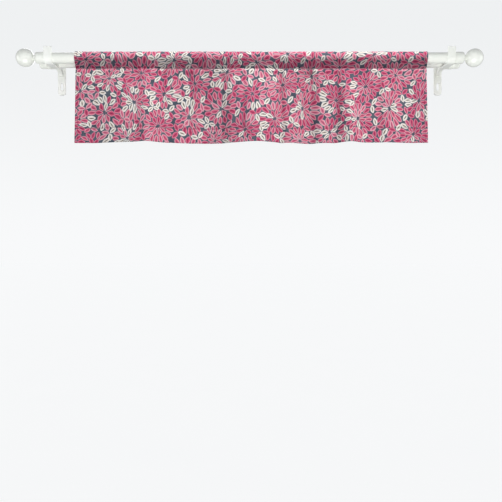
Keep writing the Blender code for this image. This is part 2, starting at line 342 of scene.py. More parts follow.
@dataclass(frozen=True)
class PrintedCloth:
    """Woven polyester with leaves printed round flower centres on a slate ground.

    The layout is worked out here by rule. Flower centres stand on a triangular lattice that a
    smooth drift bends out of true. Round each stand two rings of pointed leaves, each leaf with
    a pale rim and a slit, and a sprig of three leaves fills each gap among three flowers.
    To the eye it is matte, with a plain weave, soft mottling and stitches that pull it in.
    """

    spacing: float = 0.112
    turn: float = 0.31
    drift: float = 0.026
    drift_scale: float = 5.5
    rings: tuple[Ring, ...] = (
        Ring(0.0414, 0.0140, 0.0080, 17),
        Ring(0.0179, 0.0138, 0.0077, 8),
    )
    sprig_leaf: Ring = Ring(0.0131, 0.0125, 0.0072, 3)
    point: float = 0.8
    slit_half: float = 0.18
    slit_taper: float = 0.40
    # How much flowers and leaves differ: a flower's oval, then each leaf's shift, length and
    # width in metres, its lean and its bend
    oval: float = 0.07
    shift: float = 0.0045
    longer: float = 0.0022
    wider: float = 0.0014
    lean: float = 0.55
    bend: float = 0.5
    gap: float = 0.0006
    # Features per metre of the noises that gather leaves of one colour
    pink_scale: float = 13.0
    cream_scale: float = 18.0
    sprig_scale: float = 55.0
    # How much of its colour is a leaf's own chance, and above which number it is cream
    pink_chance: float = 0.55
    cream_chance: float = 0.60
    cream_above: float = 0.745
    sprig_cream_above: float = 0.545
    # Each pink starts at its number from 0 to 1
    pinks: tuple[tuple[float, Inks], ...] = (
        (0.0, Inks("#D4567C", "#EE97AF", "#9A3256")),
        (0.40, Inks("#E2708F", "#F6B6C5", "#A84264")),
        (0.72, Inks("#EC8CA6", "#FACFD8", "#B25472")),
    )
    cream: Inks = Inks("#F7EEE6", "#FEFBF7", "#4A4440")
    ground: str = "#646D7A"
    ground_dark: str = "#505967"
    ground_scale: float = 38.0
    bare: str = "#DCD6D8"
    worn_pale: float = 0.0
    mottle_scale: float = 120.0
    weave_pitch: float = 0.0007
    relief: float = 0.00012
    stitching: Stitching = Stitching()

    def leaf(self, along: Wire, across: Wire) -> tuple[Wire, Wire]:
        """Draw one pointed leaf in its own coordinates.

        With a = along / half length and c = |across| / half width, the leaf is where
        (1 - a squared) to the power of its point, less c, is over 0, and its slit is where
        slit_half - slit_taper times a squared - c is over 0.

        Args:
            along: Distance along the leaf from its middle over its half length.
            across: Distance across it over its half width.

        Returns:
            How far inside the leaf's edge, and how far inside the slit's.
        """
        square, beside = along * along, abs(across)
        edge = (square * -1.0 + 1.0).most(0.0).math("POWER", self.point) - beside
        return edge, (square * -self.slit_taper + self.slit_half) - beside

    def spot(self, x: Wire, y: Wire) -> Spot:
        """Find the point of a triangular lattice that is nearest to a place.

        The lattice is two rectangular ones of spacing by spacing times the root of 3, half a
        cell apart. The nearer of their two nearest points wins.

        Args:
            x: First coordinate, in metres.
            y: Second coordinate, in metres.

        Returns:
            The place and its centre.
        """
        wide, high = self.spacing, self.spacing * math.sqrt(3)
        first = [(x / wide + 0.5).floor() * wide, (y / high + 0.5).floor() * high]
        second = [((x / wide).floor() + 0.5) * wide, ((y / high).floor() + 0.5) * high]
        far = [(x - cx) * (x - cx) + (y - cy) * (y - cy) for cx, cy in (first, second)]
        nearer = far[1].above(far[0])
        cx, cy = nearer.pick(first[0], second[0]), nearer.pick(first[1], second[1])
        i, j = (cx * (2 / wide) + 0.5).floor(), (cy * (2 / high) + 0.5).floor()
        return Spot(x, y, i, j, i * (wide / 2), j * (high / 2))

    def flower(self, ring: Ring, spot: Spot) -> Leaf:
        """One ring of leaves round a flower's centre.

        The angle round the centre times the ring's count, plus a random turn, numbers the
        leaves. Each leaf leans, bends, shifts, shortens and narrows by its own random numbers,
        and stops short of its neighbours. The count is the ring's own, give or take one.

        Args:
            ring: The ring.
            spot: Place on the print.

        Returns:
            The ring's leaf there.
        """
        i, j, key = spot.i, spot.j, ring.leaves + 0.5
        dx, dy = spot.x - spot.cx, spot.y - spot.cy
        angle = dy.math("ARCTAN2", dx)
        oval, fewer, _ = randoms_at(i, j)
        turn, _, _ = randoms_at(i, j, key)
        wobble = (angle * 2.0 + oval * 6.3).sine() * self.oval + 1.0
        radius = (dx * dx + dy * dy).math("SQRT").most(0.0005) * wobble
        count = (fewer * -3.0 + float(ring.leaves) + 2.0).floor()
        place = (angle / TURN + 0.5) * count + turn
        number = place.floor()
        number = number - count * (number + 0.5).above(count)
        lean, length, width = randoms_at(i * 7.0 + key, j, number)
        pink_draw, cream_draw, shift = randoms_at(j * 5.0, i + key, number)
        cell = radius * TURN / count
        offset = place.fraction() - 0.5
        outwards = radius - ring.middle + (shift - 0.5) * self.shift
        sideways = offset * cell + (lean - 0.5) * self.lean * outwards
        along = outwards / (length * self.longer + (ring.half_length - self.longer / 2))
        half_width = width * self.wider + (ring.half_width - self.wider / 2)
        across = sideways / half_width + (lean - 0.5) * self.bend * (along * along - 0.5)
        edge, slit = self.leaf(along, across)
        beside = ((abs(offset) * -1.0 + 0.5) * cell - self.gap) / half_width

        bearing = (number + 0.5 - turn) * TURN / count - math.pi
        lx = spot.cx + bearing.cosine() * ring.middle
        ly = spot.cy + bearing.sine() * ring.middle
        patch = leaf_noise(lx, ly, self.pink_scale).ramp(0.30, 0.70)
        clump = leaf_noise(lx, ly, self.cream_scale, 3.3).ramp(0.32, 0.68)
        pink = patch * (1 - self.pink_chance) + pink_draw * self.pink_chance
        cream = clump * (1 - self.cream_chance) + cream_draw * self.cream_chance
        return Leaf(edge.least(beside), slit, pink, cream.above(self.cream_above))

    def sprig(self, spot: Spot) -> Leaf:
        """Three leaves that meet midway among three flowers.

        The corner of the centre's hexagon that lies nearest to the point is the sprig's foot,
        and its leaves point along the borders between the flowers, 120 degrees apart.

        Args:
            spot: Place on the print.

        Returns:
            The sprig's leaf there.
        """
        dx, dy = spot.x - spot.cx, spot.y - spot.cy
        sixth, third = math.pi / 3, 2 * math.pi / 3
        corner = ((dy.math("ARCTAN2", dx) - sixth / 2) / sixth + 0.5).floor() * sixth + sixth / 2
        reach = self.spacing / math.sqrt(3)
        rx, ry = corner.cosine() * reach, corner.sine() * reach
        fx, fy = dx - rx, dy - ry
        bearing = fy.math("ARCTAN2", fx) - corner
        own = (bearing / third + 0.5).floor() * third
        bearing = bearing - own
        away = (fx * fx + fy * fy).math("SQRT")
        leaf = self.sprig_leaf
        along = (away * bearing.cosine() - leaf.middle) / leaf.half_length
        edge, slit = self.leaf(along, away * bearing.sine() / leaf.half_width)
        lx = spot.cx + rx + (own + corner).cosine() * leaf.middle
        ly = spot.cy + ry + (own + corner).sine() * leaf.middle
        pink = leaf_noise(lx, ly, self.sprig_scale, 1.7).ramp(0.30, 0.70)
        cream = leaf_noise(lx, ly, self.sprig_scale, 7.1)
        return Leaf(edge, slit, pink, cream.above(self.sprig_cream_above))

    def inked(self, leaf: Leaf) -> NodeSocket:
        """Colour a leaf: its rim, its body and its slit, in one of three pinks or cream.

        Args:
            leaf: The leaf.

        Returns:
            The colour socket.
        """
        tree, picked = leaf.edge.tree, []
        for part in ("rim", "body", "slit"):
            stops = [(start, getattr(inks, part)) for start, inks in self.pinks]
            pinks = palette(tree, leaf.pink, stops)
            picked.append(mixed(tree, leaf.cream, pinks, linear(getattr(self.cream, part))))
        whole = mixed(tree, leaf.edge.ramp(0.22, 0.36), picked[0], picked[1])
        return mixed(tree, leaf.slit.ramp(-0.03, 0.05), whole, picked[2])

    def drawn(self, tree: NodeTree, flat: NodeSocket) -> NodeSocket:
        """Colour of the print at each place of the cloth.

        Args:
            tree: Node tree to build in.
            flat: Coordinates on the flat cloth, in metres.

        Returns:
            The colour socket.
        """
        inputs = {"Vector": flat, "Scale": self.drift_scale, "Detail": 1.0}
        drift = parts_of(tree, add_node(tree, "TexNoise", inputs).outputs["Color"], "Color")
        across, down, _ = parts_of(tree, flat)
        u = across + (drift[0] - 0.5) * (2 * self.drift)
        v = down + (drift[1] - 0.5) * (2 * self.drift)
        sine, cosine = math.sin(self.turn), math.cos(self.turn)
        # The shift of 10 m keeps every number on the cloth above 0
        spot = self.spot(u * cosine - v * sine + 10.0, u * sine + v * cosine + 10.0)

        shade = noise_at(tree, flat, self.ground_scale, 3.0).ramp(0.36, 0.60)
        colour = mixed(tree, shade, linear(self.ground_dark), linear(self.ground))
        outer, inner = (self.flower(ring, spot) for ring in self.rings)
        for leaf in (outer, self.sprig(spot), inner):
            colour = mixed(tree, leaf.edge.ramp(0.0, 0.07), colour, self.inked(leaf))
        return colour

    def dress(self, name: str) -> Material:
        """Make the printed cloth's material.

        Args:
            name: The material's name.

        Returns:
            The material.
        """
        made, tree, shader = new_material(name)
        flat = add_node(tree, "UVMap", uv_map=CLOTH_MAP).outputs["UV"]
        across, down, _ = parts_of(tree, flat)
        soft = noise_at(tree, flat, self.mottle_scale, 3.0)
        colour = self.drawn(tree, flat)
        if self.worn_pale:
            # On the other side the ink only shows through the threads
            pale = soft.ramp(0.2, 0.8) * 0.10 + (self.worn_pale - 0.05)
            colour = mixed(tree, pale, colour, linear(self.bare))
        # Plain weave: two sets of round threads, each over and under the other in turn
        warp, weft = (
            (place * (math.pi / self.weave_pitch)).sine() for place in (across, down)
        )
        weave = (warp * weft) * 0.5 + 0.5
        thread, groove = self.stitching.over(across, down)
        height = weave * 0.7 + soft * 1.6 + thread * 3.0 - groove * 5.0
        inputs = {
            "Base Color": mixed(tree, thread, colour, linear(self.stitching.colour)),
            "Normal": bump(tree, height, self.relief, 0.7),
            "Roughness": soft * 0.12 + 0.74,
            "Specular IOR Level": 0.12,
            "Sheen Weight": 0.04,
            "Sheen Roughness": 0.45,
        }
        plug(shader, inputs)
        return made


@dataclass(frozen=True)
class GlossWhite:
    """Smooth white finish: stoved enamel, moulded gloss resin or powder coat."""

    name: str
    colour: str
    shade: str
    roughness: float
    ripple: float
    ripple_scale: float
    coat: float = 0.0
    tint_scale: float = 14.0
    uneven: float = 0.10

    def dress(self) -> Material:
        """Make the material, with a faint ripple and slightly uneven tint and gloss.

        Returns:
            The material.
        """
        made, tree, shader = new_material(self.name)
        place = add_node(tree, "TexCoord").outputs["Object"]
        slow = noise_at(tree, place, self.tint_scale, 3.0)
        quick = noise_at(tree, place, self.ripple_scale, 2.0)
        patchy = slow.ramp(0.35, 0.7)
        inputs = {
            "Base Color": mixed(tree, patchy, linear(self.shade), linear(self.colour)),
            "Roughness": slow * self.uneven + (self.roughness - self.uneven / 2),
            "Normal": bump(tree, quick, self.ripple),
            "Coat Weight": self.coat,
            "Coat Roughness": 0.12,
        }
        plug(shader, inputs)
        return made


# Stoved enamel on rolled steel tube: a clear gloss coat over the tube's faint ripple
ENAMEL = GlossWhite("white_enamel_rod", "#F1F3ED", "#EAEDE5", 0.24, 0.00006, 420.0, 0.35).dress()
# Moulded gloss resin: the smoothest of the three, with soft unevenness from the mould
RESIN = GlossWhite("white_gloss_resin", "#EFF2EB", "#E8EBE3", 0.20, 0.00004, 260.0, 0.25).dress()
# Powder coat on the brackets: duller, with a fine grain
POWDER = GlossWhite("white_powder_coat", "#F2F4EF", "#EBEEE6", 0.38, 0.00009, 1500.0).dress()


# Meshes


def put(name: str, data: bpy.types.ID) -> Object:
    """Make an object of this data and put it into the scene."""
    obj = bpy.data.objects.new(name, data)
    bpy.context.scene.collection.objects.link(obj)
    return obj


def grid_quads(rows: int, columns: int, wrap: bool = False) -> Array:
    """Quads of a grid of points numbered row by row.

    Args:
        rows: Rows of points.
        columns: Points in each row.
        wrap: Whether the last column joins the first.

    Returns:
        One row of four point numbers for each quad.
    """
    numbers = np.arange(rows * columns).reshape(rows, columns)
    if wrap:
        numbers = np.concatenate([numbers, numbers[:, :1]], axis=1)
    corners = (numbers[:-1, :-1], numbers[:-1, 1:], numbers[1:, 1:], numbers[1:, :-1])
    return np.stack([corner.ravel() for corner in corners], axis=1)


def place_mesh(
    name: str, points: Array, faces: list, materials: list[Material], sharp: float = 40.0
) -> Object:
    """Put points and faces into a smooth-shaded object at the origin.

    Args:
        name: Name of the piece.
        points: Points by x, y and z.
        faces: Lists of point numbers.
        materials: Materials of the piece's slots.
        sharp: Angle in degrees above which an edge stays sharp.

    Returns:
        The object.
    """
    mesh = bpy.data.meshes.new(name)
    mesh.from_pydata(points.tolist(), [], faces)
    mesh.validate()
    for material in materials:
        mesh.materials.append(material)
    mesh.shade_smooth()
    mesh.set_sharp_from_angle(angle=math.radians(sharp))
    return put(name, mesh)


def face_outwards(obj: Object) -> None:
    """Turn a closed mesh's faces outwards."""
    shape = bmesh.new()
    shape.from_mesh(obj.data)
    bmesh.ops.recalc_face_normals(shape, faces=shape.faces)
    shape.to_mesh(obj.data)
    shape.free()


def unit(vectors: Array) -> Array:
    """Vectors of length 1 along those of a grid."""
    return vectors / np.linalg.norm(vectors, axis=2, keepdims=True)


def bell(place: Array, height: float, width: float) -> Array:
    """Soft ridge, height times exp(-(place / width) squared), or a dent if height is below 0."""
    return height * np.exp(-((place / width) ** 2))


def arc(
    centre: Pair, radius: float, start: float, end: float, step: float = 4.0
) -> Array:
    """Points of a circular arc, both ends included.

    Args:
        centre: The circle's centre.
        radius: Its radius.
        start: First angle in degrees.
        end: Last angle in degrees.
        step: Largest angle between two points.

    Returns:
        Points by their two coordinates.
    """
    angles = np.radians(np.linspace(start, end, max(3, math.ceil(abs(end - start) / step) + 1)))
    return np.array(centre) + radius * np.stack([np.cos(angles), np.sin(angles)], axis=1)


def turned(
    name: str, profile: Array, start: Vector, side: Side, material: Material, steps: int = 96
) -> Object:
    """Turn a profile about a line along X.

    The point at angle t of the profile's (radius, length) is start + length towards the side,
    radius times cos t along Y and radius times sin t along Z.

    Args:
        name: Name of the piece.
        profile: (radius, length) from one pole to the other; the first and last radius are 0.
        start: Where length is 0.
        side: Way that the length runs.
        material: Finish of the piece.
        steps: Points round each ring.

    Returns:
        The object.
    """
    angles = np.linspace(0.0, TURN, steps, endpoint=False)
    radius, length = profile[1:-1, :1], profile[1:-1, 1:]
    along = np.broadcast_to(start.x + side.value * length, (len(radius), steps))
    out, up = start.y + radius * np.cos(angles), start.z + radius * np.sin(angles)
    rings = np.stack([along, out, up], axis=2).reshape(-1, 3)
    poles = [(start.x + side.value * profile[i, 1], start.y, start.z) for i in (0, -1)]
    last = (len(radius) - 1) * steps
    near = np.arange(steps)
    far = np.roll(near, -1)
    fans = [
        np.stack([near, far, np.full(steps, len(rings))], axis=1),
        np.stack([far + last, near + last, np.full(steps, len(rings) + 1)], axis=1),
    ]
    faces = grid_quads(len(radius), steps, wrap=True).tolist() + np.concatenate(fans).tolist()
    obj = place_mesh(name, np.concatenate([rings, poles]), faces, [material])
    face_outwards(obj)
    return obj


# Sub-assemblies


@dataclass
class Rod:
    """A round steel tube along X, closed by the fitting on each end."""

    node: str
    radius: float
    forward: float
    end: float = 0.6848
    edge: float = 0.0006
    clear: float = 0.02
    stations: int = 24

    def build(self) -> Object:
        """Make the tube with slightly rounded ends, and let it replace its node.

        Returns:
            The rod.
        """
        whole, inner = 2 * self.end, self.radius - self.edge
        corner = arc((inner, whole - self.edge), self.edge, 90, 0, 30)
        lengths = np.linspace(whole - self.clear, self.clear, self.stations)
        body = np.stack([np.full_like(lengths, self.radius), lengths], axis=1)
        other = arc((inner, self.edge), self.edge, 0, -90, 30)
        profile = np.concatenate([[(0.0, whole)], corner, body, other, [(0.0, 0.0)]])
        start = Vector((-self.end, -self.forward, 0.0))
        obj = turned(f"{self.node}_tube", profile, start, Side.RIGHT, ENAMEL)
        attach(obj, "root")
        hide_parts(self.node)
        return obj


@dataclass
class Finial:
    """Ball finial of the front rod: collar, neck and ball, turned in one."""

    side: Side
    collar_radius: float = 0.0195
    collar_length: float = 0.031
    shoulder: float = 0.006
    edge: float = 0.0006
    groove: float = 0.0052
    groove_radius: float = 0.0006
    neck_radius: float = 0.009
    cove: float = 0.0022
    ball_radius: float = 0.030
    ball_centre: float = 0.067

    def profile(self) -> Array:
        """Outline from the ball's tip to the collar's base.

        Returns:
            (radius, length) points.
        """
        touch, reach = self.neck_radius + self.cove, self.ball_radius + self.cove
        drop = math.sqrt(reach**2 - touch**2)
        angle = math.degrees(math.asin(touch / reach))
        inner, top = self.collar_radius - self.shoulder, self.collar_length - self.shoulder
        ball = arc((0.0, self.ball_centre), self.ball_radius, 90, -90 + angle)
        upper_cove = arc((touch, self.ball_centre - drop), self.cove, 90 + angle, 180, 15)
        lower_cove = arc((touch, self.collar_length + self.cove), self.cove, 180, 270, 15)
        shoulder = arc((inner, top), self.shoulder, 90, 0, 6)
        step = arc((self.collar_radius, self.groove), self.groove_radius, 90, 270, 20)
        foot = arc((self.collar_radius - self.edge, self.edge), self.edge, 0, -90, 30)
        return np.concatenate([ball, upper_cove, lower_cove, shoulder, step, foot, [(0.0, 0.0)]])

    def build(self) -> Object:
        """Turn the finial and let it replace its node.

        Returns:
            The finial.
        """
        profile = self.profile()
        profile[0, 0] = 0.0
        start = Vector((self.side.value * FITTING_START, -FRONT_FORWARD, 0.0))
        obj = turned(f"ball_finial_{self.side.word}", profile, start, self.side, RESIN)
        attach(obj, "root")
        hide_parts(f"finial_{self.side.word}")
        return obj


@dataclass
class EndCap:
    """Rounded end cap of the rear rod, with a collar and a groove."""

    side: Side
    collar_radius: float = 0.0168
    collar_length: float = 0.0145
    groove_radius: float = 0.0145
    groove_length: float = 0.0015
    radius: float = 0.0155
    tip: float = 0.0415
    rounding: float = 0.009
    edge: float = 0.0005

    def profile(self) -> Array:
        """Outline from the cap's tip to the collar's base.

        Returns:
            (radius, length) points.
        """
        e = self.edge
        groove_end = self.collar_length + self.groove_length
        nose = arc((self.radius - self.rounding, self.tip - self.rounding), self.rounding, 90, 0)
        above = arc((self.radius - e, groove_end + e), e, 0, -90, 30)
        below = arc((self.collar_radius - e, self.collar_length - e), e, 90, 0, 30)
        foot = arc((self.collar_radius - e, e), e, 0, -90, 30)
        groove = [(self.groove_radius, groove_end), (self.groove_radius, self.collar_length)]
        return np.concatenate([[(0.0, self.tip)], nose, above, groove, below, foot, [(0.0, 0.0)]])

    def build(self) -> Object:
        """Turn the cap and let it replace its node.

        Returns:
            The cap.
        """
        start = Vector((self.side.value * FITTING_START, -REAR_FORWARD, 0.0))
        obj = turned(f"rod_cap_{self.side.word}", self.profile(), start, self.side, RESIN)
        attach(obj, "root")
        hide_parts(f"rear_cap_{self.side.word}")
        return obj


# Crests, troughs and shoulders of the hanging folds, as in the solid, in mm: x at the hem, how
# far forward there, x at the seam, how far forward there
FOLDS = (
    (-590, -3, -587, -0.5), (-553, -11, -556, -1.0), (-455, 8, -462, 0.5),
    (-390, 17, -392, 1.0), (-335, 27, -345, 2.0), (-287, 6, -300, -0.5),
    (-200, -16, -205, -1.0), (-152, -27, -150, -1.5), (-106, -18, -98, -1.5),
    (-54, 6, -66, 1.5), (30, 27, 18, 2.0), (86, 9, 92, 1.0),
    (113, -4, 112, -2.0), (136, 0, 132, 0.5), (190, -25, 186, -2.0),
    (246, -5, 252, -0.5), (286, -3, 296, -0.5), (330, 25, 322, 2.0),
    (374, 7, 366, 0.5), (468, 7, 462, 1.0), (540, -4, 538, -1.0),
    (600, 1, 597, 0.0),
)  # fmt: skip
# Soft creases laid on the folds: x at the seam, x at the hem, half width and how far forward, in
# mm, and the shares of the way down between which it shows
CREASES = (
    (-548, -548, 26, 5.0, 0.00, 1.20), (-506, -510, 9, 1.8, 0.05, 0.80),
    (-374, -374, 9, -2.8, 0.00, 0.95), (-344, -343, 10, 2.4, 0.05, 1.10),
    (-290, -288, 8, -4.4, 0.00, 0.95), (-254, -252, 11, 2.6, 0.05, 1.00),
    (-203, -199, 9, -4.4, 0.00, 1.00), (-175, -172, 11, 2.8, 0.00, 1.00),
    (-92, -92, 8, -3.2, 0.00, 1.10), (-62, -60, 8, 2.6, 0.00, 1.10),
    (-22, -24, 8, -4.2, 0.00, 0.90), (100, 103, 8, -6.0, 0.00, 1.20),
    (118, 121, 8, 4.2, 0.00, 1.20), (203, 206, 12, -5.4, 0.00, 1.10),
    (231, 234, 12, 2.6, 0.00, 1.00), (296, 280, 8, -3.6, 0.00, 1.10),
    (320, 302, 8, 2.6, 0.00, 1.10), (352, 354, 8, -3.0, 0.05, 0.80),
    (428, 432, 8, -2.4, 0.10, 0.90), (447, 449, 10, 3.8, 0.00, 1.10),
    (560, 562, 9, 3.2, 0.00, 1.10),
)  # fmt: skip
# Waves of the gathers: length in mm, height, phase, and how far the phase sways
WAVES = (
    (31, 0.34, 0.4, 2.1), (23, 0.30, 2.2, 1.6), (17, 0.26, 4.1, 2.7),
    (13, 0.22, 1.3, 1.9), (10.5, 0.16, 5.3, 2.4), (9, 0.12, 3.0, 1.4),
)  # fmt: skip


@dataclass
class Valance:
    """One length of printed cloth, sewn into a rod pocket above and a deep hem below.

    Every point of the cloth has two flat coordinates: x across, and the way down the cloth,
    which is 0 at the pocket's seam, positive down the front and negative over the rod.
    """

    rod_forward: float = FRONT_FORWARD
    left: float = -0.582
    right: float = 0.591
    flare: float = 0.0055
    wrap_radius: float = 0.0192
    seam_drop: float = 0.035
    skirt: float = 0.2485
    hem: float = 0.048
    side_hem: float = 0.014
    allowance: float = 0.0035
    cloth: float = 0.0008
    layer: float = 0.0011
    column_step: float = 0.0037
    row_step: float = 0.0037
    pocket_step: float = 0.0044
    # What the stitching does to the cloth, each by height and width in metres: gathers that
    # fade out below the seam, gathers at the hem, the swelling under the seam, and two dents
    seam_gathers: tuple[Pair, ...] = ((0.0011, 0.016), (0.0007, 0.06))
    hem_gathers: Pair = (0.00035, 0.012)
    swelling: Pair = (0.0017, 0.006)
    swelling_down: float = 0.009
    seam_dent: Pair = (-0.0020, 0.0040)
    hem_dent: Pair = (-0.0006, 0.0020)
    # Slack of the pocket on the rod: over it, and what is added towards the seam
    slack: Pair = (0.0008, 0.0009)

    @property
    def leave_angle(self) -> float:
        """Angle below the rod's axis at which the cloth leaves the rod for the seam."""
        return math.asin(self.wrap_radius / self.seam_drop)

    @property
    def straight(self) -> float:
        """Length of cloth between the rod and the seam."""
        return math.sqrt(self.seam_drop**2 - self.wrap_radius**2)

    @property
    def pocket(self) -> float:
        """Length of cloth over the rod, from the back of the seam to its front."""
        return 2 * self.straight + self.wrap_radius * (math.pi + 2 * self.leave_angle)

    @property
    def hem_line(self) -> float:
        """Way down the cloth to the stitched edge of the bottom hem."""
        return self.skirt - self.hem

    def depth_at(self, x: Array, share: Array) -> Array:
        """How far forward of the rod's axis the folds stand.

        A cubic runs through the crests and troughs, whose slope at each is that of the chord
        between its neighbours. From seam to hem a fold's place moves straight, and its depth
        opens as 1 - (1 - share) squared.

        Args:
            x: Places across, one for each column.
            share: Shares of the way from seam to hem, one for each row.

        Returns:
            Depths by row and column.
        """
        hem_x, hem_depth, seam_x, seam_depth = np.array(FOLDS).T * MM
        rows = []
        for s in np.clip(share, 0.0, 1.2):
            place = seam_x + (hem_x - seam_x) * s
            depth = seam_depth + (hem_depth - seam_depth) * (1 - (1 - min(s, 1.0)) ** 2)
            slope = np.gradient(depth, place)
            i = np.clip(np.searchsorted(place, x) - 1, 0, len(place) - 2)
            step = place[i + 1] - place[i]
            t = np.clip((x - place[i]) / step, 0.0, 1.0)
            rows.append(
                (2 * t**3 - 3 * t**2 + 1) * depth[i]
                + (t**3 - 2 * t**2 + t) * step * slope[i]
                + (3 * t**2 - 2 * t**3) * depth[i + 1]
                + (t**3 - t**2) * step * slope[i + 1]
            )
        return np.array(rows)

    def crease_at(self, x: Array, share: Array) -> Array:
        """Soft troughs and ridges laid on the folds.

        Each is a bell across, along a straight line from seam to hem, and eases in and out over
        an eighth of the drop.

        Args:
            x: Places across, one for each column.
            share: Shares of the way down, one for each row.

        Returns:
            Metres forward, by row and column.
        """
        total = np.zeros((len(share), len(x)))
        s, ease = share[:, None], 0.12
        for seam_x, hem_x, width, height, start, end in CREASES:
            middle = (seam_x + (hem_x - seam_x) * s) * MM
            begun = np.clip((s - start) / ease + 0.5, 0, 1)
            left = np.clip((end - s) / ease + 0.5, 0, 1)
            total += bell(x - middle, height * MM, width * MM) * (begun * left)
        return total

    def pucker_at(self, x: Array) -> Array:
        """Gathers that the stitching pulls into the cloth.

        Six waves, 9 to 31 mm long, whose phases sway along the cloth, are added up.

        Args:
            x: Places across.

        Returns:
            Height at each place, of about -1 to 1.
        """
        wave = np.zeros_like(x)
        for length, size, phase, sway in WAVES:
            angle = TURN * x / (length * MM) + phase + sway * np.sin(x * 9.7 + phase)
            wave += size * np.sin(angle)
        return wave

    def surface(self, x: Array, way: Array) -> Array:
        """Middle of the cloth at places across (x) and down (way), before its hems are turned.

        Over the rod the cloth follows a circle and its two tangents to the seam. Below the seam
        it hangs as its folds say, and keeps its length: the drop below the seam is the root of
        way squared less the fold's own swing squared. Creases, gathers, the swelling under the
        seam and the stitches' dents are laid on that, forward and back.

        Args:
            x: Places across, one for each column.
            way: Places down the cloth, one for each row.

        Returns:
            Points by row, column and coordinate.
        """
        share = way / self.skirt
        below = np.clip(share, 0.0, None)
        across = (x - self.left) / (self.right - self.left)
        flared = x + self.flare * below[:, None] * (2 * across - 1)
        seam_depth = self.depth_at(x, np.zeros(1))
        # The first row's places serve all rows, because the flare is small beside a fold
        depth = self.depth_at(flared[0], below)
        down = np.clip(way, 0.0, None)[:, None]
        to_hem = down - self.hem_line
        pulled, pulled_at_hem = self.pucker_at(x), self.pucker_at(x + 0.31)
        near_seam = sum(height * np.exp(-down / fade) for height, fade in self.seam_gathers)
        near_hem = bell(to_hem, *self.hem_gathers)
        stitch = bell(down - self.swelling_down, *self.swelling)
        stitch = stitch + bell(down, *self.seam_dent) + bell(to_hem, *self.hem_dent)
        creases = self.crease_at(x, share) * np.clip(down / 0.02, 0, 1)
        relief = creases + pulled * near_seam + pulled_at_hem * near_hem + stitch
        drop = np.sqrt(np.maximum(down**2 - (depth - seam_depth) ** 2, 0.0))
        hanging = [flared, -self.rod_forward - depth - relief, -self.seam_drop - drop]

        leave, straight, pocket = self.leave_angle, self.straight, self.pocket
        over = -way[:, None]
        angle = np.clip((over - straight) / self.wrap_radius - leave, -leave, math.pi + leave)
        first, last = np.clip(over / straight, 0, 1), np.clip((pocket - over) / straight, 0, 1)
        on_back = over > pocket - straight
        to_seam = np.where(over < straight, 1 - first, np.where(on_back, 1 - last, 0.0))
        lift = (self.slack[0] + self.slack[1] * to_seam**0.7) * (pulled + 1.0) * 0.6
        radius = self.wrap_radius + lift
        at_seam = seam_depth + np.where(on_back, -self.layer, 0.0) + pulled * near_seam
        forward = radius * np.cos(angle) * (1 - to_seam) + at_seam * to_seam
        past = np.clip(over - pocket, 0.0, None)
        up = radius * np.sin(angle) * (1 - to_seam) - self.seam_drop * to_seam - past
        round_rod = [np.broadcast_to(x, forward.shape), -self.rod_forward - forward, up]
        in_pocket = (way < 0)[:, None, None]
        return np.where(in_pocket, np.stack(round_rod, axis=2), np.stack(hanging, axis=2))

    def grain(self, x: Array, way: Array) -> tuple[Array, Array]:
        """Directions across and down the cloth, from points 0.1 mm to either side.

        At the hem's fold and at the seam, where the cloth turns sharply, the direction down is
        that of the skirt just beside them.

        Args:
            x: Places across, one for each column.
            way: Places down the cloth, one for each row.

        Returns:
            Unit vectors across, and unit vectors down.
        """
        step = 1e-4
        across = self.surface(x + step, way) - self.surface(x - step, way)
        down = self.surface(x, way + step) - self.surface(x, way - step)
        for rows, start, end in (
            (way >= self.skirt, self.skirt - step, self.skirt),
            (np.abs(way) < 2 * step, step, 3 * step),
        ):
            upper, lower = (self.surface(x, np.array([place])) for place in (start, end))
            down[rows] = (lower - upper)[0]
        return unit(across), unit(down)

    def ways(self) -> tuple[Array, Array, Array]:
        """Rows of the sheet from the pocket's back edge to the turned hem's edge.

        Returns:
            The place down the cloth of each row, whether it is turned back (1) or not (0), and
            its angle round the hem's fold in radians, from 0 to pi.
        """
        count = round(self.pocket / self.pocket_step)
        pocket = np.linspace(-self.pocket - self.allowance, 0.0, count)[:-1]
        skirt = np.linspace(0.0, self.skirt, round(self.skirt / self.row_step))
        by_seam = np.array([0.0011, 0.0023])
        by_hem = self.hem_line + np.array([-0.0028, -0.0012, 0.0, 0.0012, 0.0028])
        main = np.unique(np.concatenate([pocket, skirt, by_seam, by_hem]).round(5))
        back = np.linspace(self.skirt, self.hem_line - 0.002, 10)
        way = np.concatenate([main, np.full(len(BEND), self.skirt), back])
        folded = np.concatenate([np.zeros(len(main) + len(BEND)), np.ones(len(back))])
        angle = np.concatenate([np.zeros(len(main)), BEND, np.full(len(back), math.pi)])
        return way, folded, angle

    def places(self) -> tuple[Array, Array, Array]:
        """Columns of the sheet, with a narrow hem turned back at either side.

        Returns:
            Place across of each column, its angle round the side's fold from 0 to pi, and the
            side, -1 or 1, or 0 where the column isn't turned.
        """
        band, inset = self.side_hem, self.side_hem + 0.002
        count = round((self.right - self.left) / self.column_step)
        inner = np.linspace(self.left + inset, self.right - inset, count)
        # Distances in from the side: up to the fold, round it, and back along the turned hem
        run = np.array([band, band - 0.002, 0.008, 0.004, 0.0])
        back = np.array([0.0, 0.006, band])
        inwards = np.concatenate([run, np.zeros(len(BEND)), back])
        angles = np.concatenate([np.zeros(len(run)), BEND, np.full(len(back), math.pi)])
        hemmed = (angles > 0).astype(float)
        flat = np.zeros(count)
        x = np.concatenate([self.left + inwards[::-1], inner, self.right - inwards])
        angle = np.concatenate([angles[::-1], flat, angles])
        return x, angle, np.concatenate([-hemmed[::-1], flat, hemmed])

